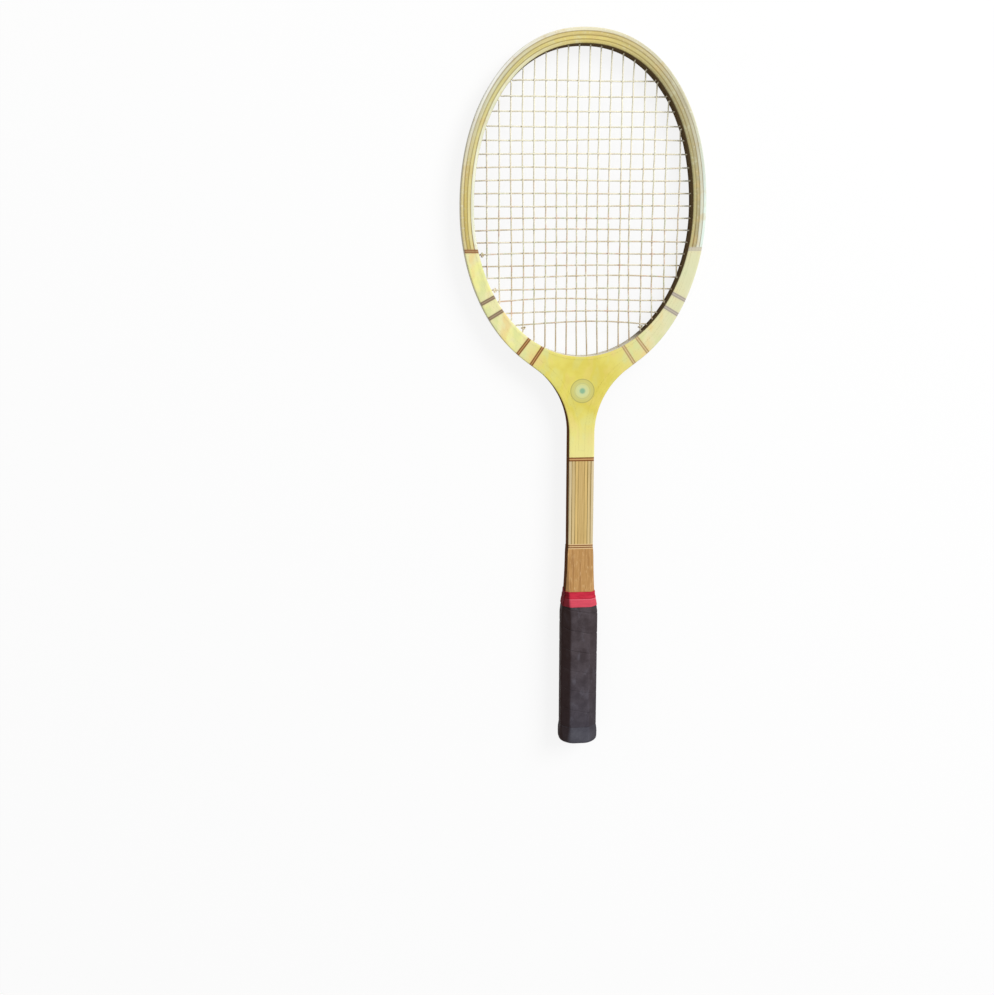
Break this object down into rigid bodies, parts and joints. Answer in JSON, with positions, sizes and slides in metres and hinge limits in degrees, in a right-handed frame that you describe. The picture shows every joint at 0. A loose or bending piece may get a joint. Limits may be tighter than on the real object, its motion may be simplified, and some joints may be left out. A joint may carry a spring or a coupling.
{
  "type": "wooden tennis racket",
  "caption": "Laminated wooden tennis racket with an oval woven string bed, painted throat, octagonal handle, wound leather grip and flared butt cap.",
  "frame": {"origin": "centre of the butt's flat end face", "axes": "+Y along the racket from the butt to the tip, +X across the head, +Z out of the front face; the racket lies flat"},
  "size_m": [0.229, 0.6858, 0.0332],
  "materials": {
    "ring_wood": "pale ply, clear varnish",
    "bow_wood": "golden ply, clear varnish",
    "outer_wood": "greyish ply, worn varnish",
    "throat_paint": "yellow paint on wood",
    "core_wood": "tan wood, clear varnish",
    "veneer": "brown wood, clear varnish",
    "cap_leather": "dark leather-covered cap",
    "leather": "dark wound leather",
    "red_tape": "red tape, slightly glossy",
    "gut": "natural gut string"
  },
  "bodies": {
    "root": {"inner_ring_ply": "ring_wood", "bow_ply_inner": "bow_wood", "bow_ply_middle": "bow_wood", "bow_ply_outer": "outer_wood", "throat_wedge": "throat_paint", "shaft_core": "core_wood", "handle_cheek_front": "veneer", "handle_cheek_back": "veneer", "handle_cheek_left": "veneer", "handle_cheek_right": "veneer", "butt_cap": "cap_leather", "leather_grip": "leather", "collar_tape": "red_tape", "main_string": "gut", "cross_string": "gut"}
  },
  "joints": []
}
